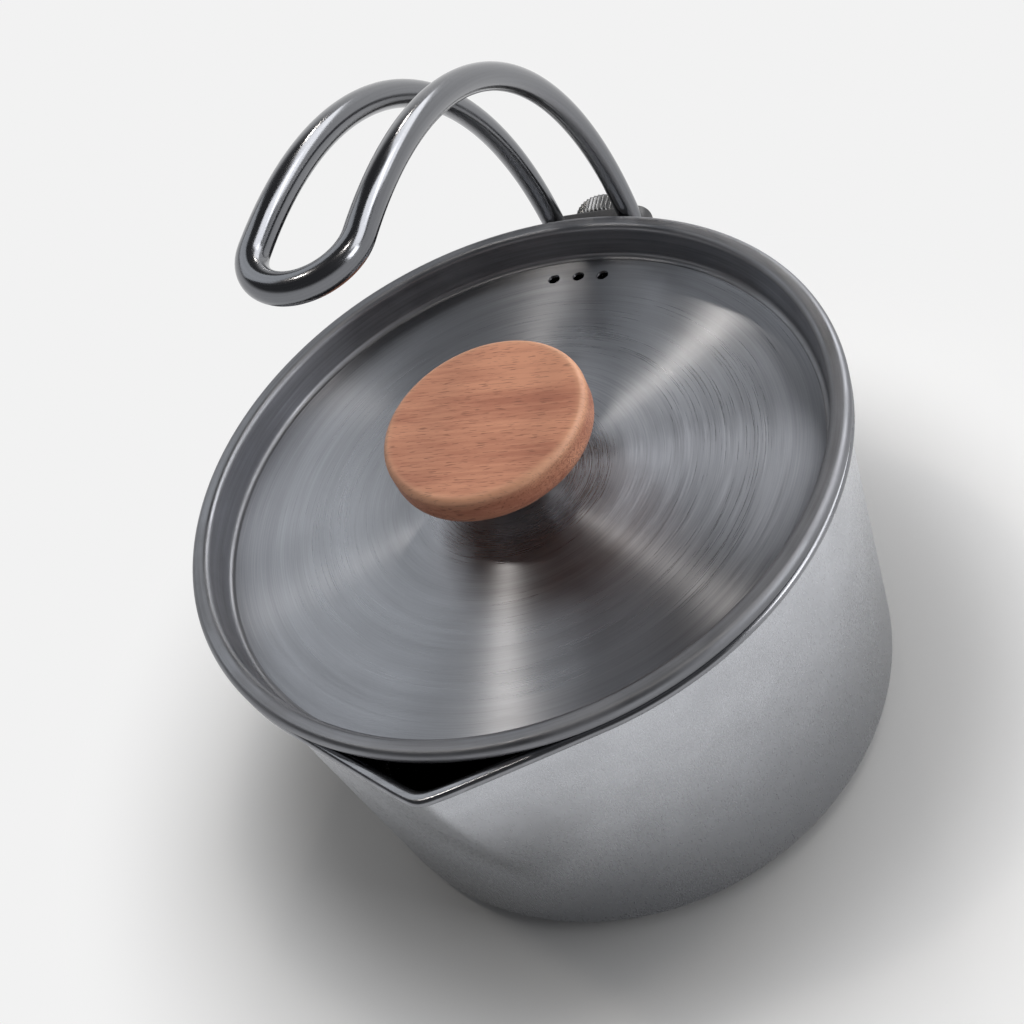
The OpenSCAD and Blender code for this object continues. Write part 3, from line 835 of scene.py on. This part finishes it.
class CAMPPOT_OT_hinge(bpy.types.Operator):
    """Draws the hub, a rounded block round its bore, and the knurled thumb screw"""

    bl_idname = "camppot.hinge"
    bl_label = "Hub and thumb screw"

    def execute(self, context):
        hinge = context.scene.camppot_hinge
        self.hub(hinge)
        self.screw(hinge)
        return {"FINISHED"}

    def hub(self, hinge):
        """Stations (outline, depth) run along the bore, then over the front, the side and the back to the
        bore again: on the faces the outline narrows to the bore's circle, and over the edges it is pulled in
        along a quarter circle."""
        y0, y1 = low("handle_hub", Y), high("handle_hub", Y)
        mid_z = middle("handle_hub", Z)
        half_w, half_h, e = high("handle_hub", X), high("handle_hub", Z) - mid_z, hinge.hub_edge
        turns = full_turn(HUB_TURNS)
        outer = rounded_rectangle(half_w, half_h, hinge.hub_corner, turns)
        shrunk = rounded_rectangle(half_w - e, half_h - e, hinge.hub_corner - e, turns)
        begin = np.arctan2(outer[0, 1], outer[0, 0])
        round_turn = turns - turns[0] + begin
        hole = hinge.screw_d / 2 * np.stack((np.cos(round_turn), np.sin(round_turn)), 1)
        bend = np.linspace(0, np.pi / 2, EDGE_POINTS)
        rings = [(hole, y0 + (y1 - y0) * t) for t in (0, 0.5, 1)]
        rings += [(hole + (shrunk - hole) * t, y1) for t in FACE_SHARES]
        rings += [(shrunk + (outer - shrunk) * np.sin(b), y1 - e + e * np.cos(b)) for b in bend]
        rings += [(shrunk + (outer - shrunk) * np.cos(b), y0 + e - e * np.sin(b)) for b in bend]
        rings += [(hole + (shrunk - hole) * t, y0) for t in FACE_SHARES[::-1]]
        points = np.stack([np.column_stack((p[:, 0], np.full(len(p), y), p[:, 1] + mid_z)) for p, y in rings])
        piece("handle_hub_block", points, grid_faces(len(rings), len(turns), True, True),
              hub_material(hinge), "handle", "handle_hub")

    def screw(self, hinge):
        """An outline (radius, depth, knurled) carried round the pivot; where knurled is 1 the radius dips
        between knurls, by the knurls' depth times one less a power of a half wave."""
        y0, y1 = low("thumb_screw", Y), high("thumb_screw", Y)
        head_y = high("screw_washer", Y)
        mid_z = middle("thumb_screw", Z)
        r, shank = high("thumb_screw", Z) - mid_z, hinge.screw_d / 2 - SHANK_PLAY
        bevel = hinge.head_bevel
        outline = [(0, y0, 0), (shank - TIP_BEVEL, y0, 0), (shank, y0 + TIP_BEVEL, 0), (shank, head_y, 0),
                   (r - bevel, head_y, 0), (r, head_y + bevel, 1), (r, y1 - bevel, 1), (r - bevel, y1, 0),
                   (r * DISH_TOP, y1, 0), (r * DISH_FLOOR, y1 - DISH, 0), (0, y1 - DISH, 0)]
        outline = divide(np.array(outline), SCREW_STEP)
        turns = full_turn(hinge.knurl_count * KNURL_POINTS)
        wave = np.abs(np.sin(turns * hinge.knurl_count / 2)) ** KNURL_POWER
        radius = outline[:, None, 0] - hinge.knurl_depth * outline[:, None, 2] * (1 - wave)[None, :]
        points = np.stack((radius * np.cos(turns), outline[:, None, 1] + 0 * radius,
                           mid_z + radius * np.sin(turns)), -1)
        steel = turned_steel("thumb_screw_steel", shade(hinge.steel, 0.24)[:3], lines=3500.0, roughness=0.26,
                             contrast=0.12, pivot_z=mid_z)
        piece("thumb_screw_knurled", points, grid_faces(len(outline), len(turns), False, True),
              steel, "screw", "thumb_screw", sharp=50)


class CAMPPOT_OT_hardware(bpy.types.Operator):
    """Gives the bracket, washers, nut, spacer, insert, screw and seal their finishes"""

    bl_idname = "camppot.hardware"
    bl_label = "Small hardware"

    def execute(self, context):
        hinge = context.scene.camppot_hinge
        fastener = {"lines": 3000.0, "roughness": 0.28, "contrast": 0.12}
        turned = turned_steel("fastener_turned", hinge.steel, **fastener)
        across = turned_steel("fastener_turned_across", hinge.steel, **fastener,
                              pivot_z=middle("thumb_screw", Z))
        brass = turned_steel("insert_turned_brass", BRASS, lines=3000.0, roughness=0.3, contrast=0.1)
        finishes = {
            "handle_bracket": self.pressed(hinge), "bracket_nut": across, "screw_washer": across,
            "friction_washer": self.soft("friction_fibre", FIBRE, roughness=0.75),
            "knob_spacer": turned, "knob_screw": turned, "knob_insert": brass,
            "knob_seal": self.soft("seal_silicone", SILICONE, roughness=0.55),
        }
        for name, material in finishes.items():
            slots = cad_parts[name].data.materials
            if len(slots) == 0:
                raise RuntimeError(f"{name} has no material slot")
            for k in range(len(slots)):
                slots[k] = material
        return {"FINISHED"}

    def pressed(self, hinge):
        """Pressed sheet steel: satin, with soft clouds and fine upright lines."""
        material, shader, place = new_material("bracket_pressed_steel", Metallic=1.0)
        use = placed(handling_group(), Vector=place, Clouds=70.0, Specks=900.0)
        lines = streaks(place, (1800, 1800, 90), detail=3, roughness=0.6)
        steel = tuple(0.85 * c for c in hinge.steel)
        base = two_tone(lines, NARROW, steel, dark=0.9, light=1.1)
        base = stained(base, use["Specks"], share=0.2, stain=shade(steel, 0.6))
        rough = remap(use["Clouds"], FULL, (0.3, 0.42))
        feed(shader, base, rough, lines, strength=0.1)
        return material

    def soft(self, name, rgb, roughness):
        """Fibre or rubber: matt, finely grained."""
        material, shader, place = new_material(name)
        grain = noise(place, scale=1800, detail=4, roughness=0.6)
        base = two_tone(grain, NARROW, rgb, dark=0.8, light=1.25)
        rough = remap(grain, NARROW, (roughness - 0.08, roughness + 0.08))
        feed(shader, base, rough, grain, strength=0.2, depth=0.05 * MM)
        return material


# Stage

# Lamps: azimuth, elevation, distance, width, height, power in watts and colour
WARM, PLAIN, COOL = (1, 0.93, 0.84), (1, 1, 1), (0.95, 0.98, 1)
LAMPS = {
    "right_box": (22, 23, 1.4, 0.9, 0.5, 5.0, PLAIN),
    "side_box": (52, 40, 1.4, 1.3, 0.7, 11.0, PLAIN),
    "right_spot": (60, 70, 1.4, 0.12, 0.12, 1.4, WARM),
    "low_box": (94, 25, 1.4, 0.5, 0.5, 5.5, PLAIN),
    "far_box": (300, 42, 1.4, 1.0, 0.9, 3.2, COOL),
    "back_spot": (357, 30, 0.55, 0.03, 0.03, 0.15, WARM),
    "far_spot": (277, 71, 1.4, 0.1, 0.1, 1.6, WARM),
}
# Floor: how far it lies below the base, the radii of its first and last ring, and its rings and columns
FLOOR_DROP, FLOOR_FIRST, FLOOR_LAST, FLOOR_RINGS, FLOOR_TURNS = 0.2 * MM, 0.05, 6, 24, 64
# Radii over which the floor turns plain to the camera, and over which it turns from half as pale to pale, a
# painted contact shadow round the part
PLAIN_RADII, PAINTED_SHADOW_RADII = (0.082, 0.165), (0.07, 0.13)
# Heights of a direction, from 0 for level to 1 for straight up, over which the pale room turns into its
# dark ceiling, and the ceiling's colour
CEILING_HEIGHTS, CEILING = (0.12, 0.42), (0.085, 0.086, 0.09, 1)
# Focal length and image size in pixels; viewing elevation, roll and azimuth in degrees
FOCAL, IMAGE = 1464.28, 1024
VIEW_ELEVATION, VIEW_ROLL, VIEW_AZIMUTH = 45.25, -29.24, 34.01
# The middle of the lid's edge: its height, its distance from the camera's plane and its pixel
AIM_Z, AIM_DEPTH, AIM_PIXEL = 88.95 * MM, 317.31 * MM, (502.83, 455.2)
# Width of the camera's sensor in millimetres, and the nearest distance that it shows
SENSOR, CLIP_START = 36, 0.01


def heading(azimuth, elevation):
    """Direction at an azimuth, from +Y towards +X, and an elevation, in degrees."""
    a, e = radians(azimuth), radians(elevation)
    return Vector((sin(a) * cos(e), cos(a) * cos(e), sin(e)))


def camera_rays(tree):
    """1 for rays that show a surface: from the camera, by reflection or through glass."""
    path = node(tree, "LightPath").outputs
    seen = math("MAXIMUM", path["Is Camera Ray"], path["Is Glossy Ray"])
    return math("MAXIMUM", seen, path["Is Transmission Ray"])


class CAMPPOT_OT_stage(bpy.types.Operator):
    """Lays the floor, hangs the lamps and sets the camera"""

    bl_idname = "camppot.stage"
    bl_label = "Stage"

    def execute(self, context):
        stage = context.scene.camppot_stage
        context.scene.view_settings.view_transform = "Standard"
        self.floor(stage)
        self.backdrop(context.scene, stage)
        self.lamps(stage)
        self.camera(context.scene)
        return {"FINISHED"}

    def floor(self, stage):
        """A flat disc: rings of growing radius carried round the axis. Near the part it is half as pale, a
        painted contact shadow; away from the part it shows plain.
        """
        rings = np.concatenate(([0], np.geomspace(FLOOR_FIRST, FLOOR_LAST, FLOOR_RINGS)))
        outline = np.stack((rings, np.full(len(rings), -FLOOR_DROP)), 1)
        faces = grid_faces(len(rings), FLOOR_TURNS, False, True)[..., ::-1]
        mesh = new_mesh("floor", revolve(outline, full_turn(FLOOR_TURNS)), faces)
        mesh.validate()
        material = bpy.data.materials.new("floor_pale")
        material.use_nodes = True
        tree = material.node_tree
        tree.nodes.clear()
        pale = (*stage.pale, 1)
        radius = vector_length(node(tree, "TexCoord").outputs["Object"])
        far = remap(radius, PLAIN_RADII, smooth=True)
        # Painted contact shadow: the floor is half as pale near the part
        tone = blend(remap(radius, PAINTED_SHADOW_RADII, smooth=True), shade(stage.pale, 0.5), pale)
        lit = node(tree, "BsdfDiffuse", {"Color": tone}).outputs[0]
        plain = node(tree, "Emission", {"Color": pale, "Strength": 1.0}).outputs[0]
        share = times(far, camera_rays(tree))
        both = node(tree, "MixShader", {0: share, 1: lit, 2: plain}).outputs[0]
        node(tree, "OutputMaterial", {"Surface": both})
        mesh.materials.append(material)
        linked("floor", mesh)

    def backdrop(self, scene, stage):
        """Pale up to a low height, dark overhead, so that metal shows a pale room with a dark ceiling."""
        world = bpy.data.worlds.new("room")
        scene.world = world
        world.use_nodes = True
        tree = world.node_tree
        tree.nodes.clear()
        height = component(node(tree, "TexCoord").outputs["Generated"], Z)
        share = remap(height, CEILING_HEIGHTS, smooth=True)
        tone = blend(share, (*stage.pale, 1), CEILING)
        back = node(tree, "Background", {"Color": tone, "Strength": 1.0}).outputs[0]
        node(tree, "OutputWorld", {"Surface": back})

    def lamps(self, stage):
        """Each lamp stands at its heading and distance from the middle of the lid's edge, and faces it."""
        target = Vector((0, 0, AIM_Z))
        for name, (azimuth, elevation, distance, width, tall, power, tint) in LAMPS.items():
            lamp = bpy.data.lights.new(name, "AREA")
            lamp.shape, lamp.size, lamp.size_y = "RECTANGLE", width, tall
            lamp.energy, lamp.color = power * stage.light, tint
            obj = linked(name, lamp)
            obj.location = target + distance * heading(azimuth, elevation)
            obj.rotation_euler = (target - obj.location).to_track_quat("-Z", "Y").to_euler()
            obj.visible_camera = False

    def camera(self, scene):
        """Back, right and up are the view's axes; the eye stands where the aim falls on its pixel."""
        e, roll = radians(VIEW_ELEVATION), radians(VIEW_ROLL)
        spin = Matrix.Rotation(radians(VIEW_AZIMUTH), 3, "Z")
        back = Vector((0, -cos(e), sin(e)))
        level, rise = Vector((1, 0, 0)), Vector((0, sin(e), cos(e)))
        right = cos(roll) * level + sin(roll) * rise
        up = cos(roll) * rise - sin(roll) * level
        off = [(p - IMAGE / 2) * AIM_DEPTH / FOCAL for p in AIM_PIXEL]
        eye = back * AIM_DEPTH - right * off[0] + up * off[1]
        camera = bpy.data.cameras.new("camera")
        camera.sensor_width = SENSOR
        camera.lens = FOCAL / IMAGE * camera.sensor_width
        camera.clip_start = CLIP_START
        obj = linked("camera", camera)
        axes = Matrix((spin @ right, spin @ up, spin @ back)).transposed()
        obj.matrix_world = Matrix.Translation(spin @ eye + Vector((0, 0, AIM_Z))) @ axes.to_4x4()
        scene.camera = obj


GROUPS = {"camppot_pot": PotSettings, "camppot_lid": LidSettings, "camppot_knob": KnobSettings,
          "camppot_handle": HandleSettings, "camppot_hinge": HingeSettings, "camppot_stage": StageSettings}
OPERATORS = (CAMPPOT_OT_stage, CAMPPOT_OT_pot, CAMPPOT_OT_lid, CAMPPOT_OT_knob, CAMPPOT_OT_handle,
             CAMPPOT_OT_hinge, CAMPPOT_OT_hardware)


class CAMPPOT_PT_panel(bpy.types.Panel):
    """Sizes, colours and the operators that draw the pieces"""

    bl_idname = "CAMPPOT_PT_panel"
    bl_label = "Camp Cooking Pot"
    bl_space_type = "VIEW_3D"
    bl_region_type = "UI"
    bl_category = "Camp Pot"

    def draw(self, context):
        for operator in OPERATORS:
            self.layout.operator(operator.bl_idname)
        for key, group in GROUPS.items():
            box = self.layout.box()
            box.label(text=group.__doc__)
            for prop in group.__annotations__:
                box.prop(getattr(context.scene, key), prop)


def register():
    for cls in (*GROUPS.values(), *OPERATORS, CAMPPOT_PT_panel):
        bpy.utils.register_class(cls)
    for key, group in GROUPS.items():
        setattr(bpy.types.Scene, key, PointerProperty(type=group))


def unregister():
    for key in GROUPS:
        delattr(bpy.types.Scene, key)
    for cls in (CAMPPOT_PT_panel, *reversed(OPERATORS), *GROUPS.values()):
        bpy.utils.unregister_class(cls)


def main():
    register()
    bpy.ops.camppot.stage()
    bpy.ops.camppot.pot()
    bpy.ops.camppot.lid()
    bpy.ops.camppot.knob()
    bpy.ops.camppot.handle()
    bpy.ops.camppot.hinge()
    bpy.ops.camppot.hardware()


if __name__ == "__main__":
    main()
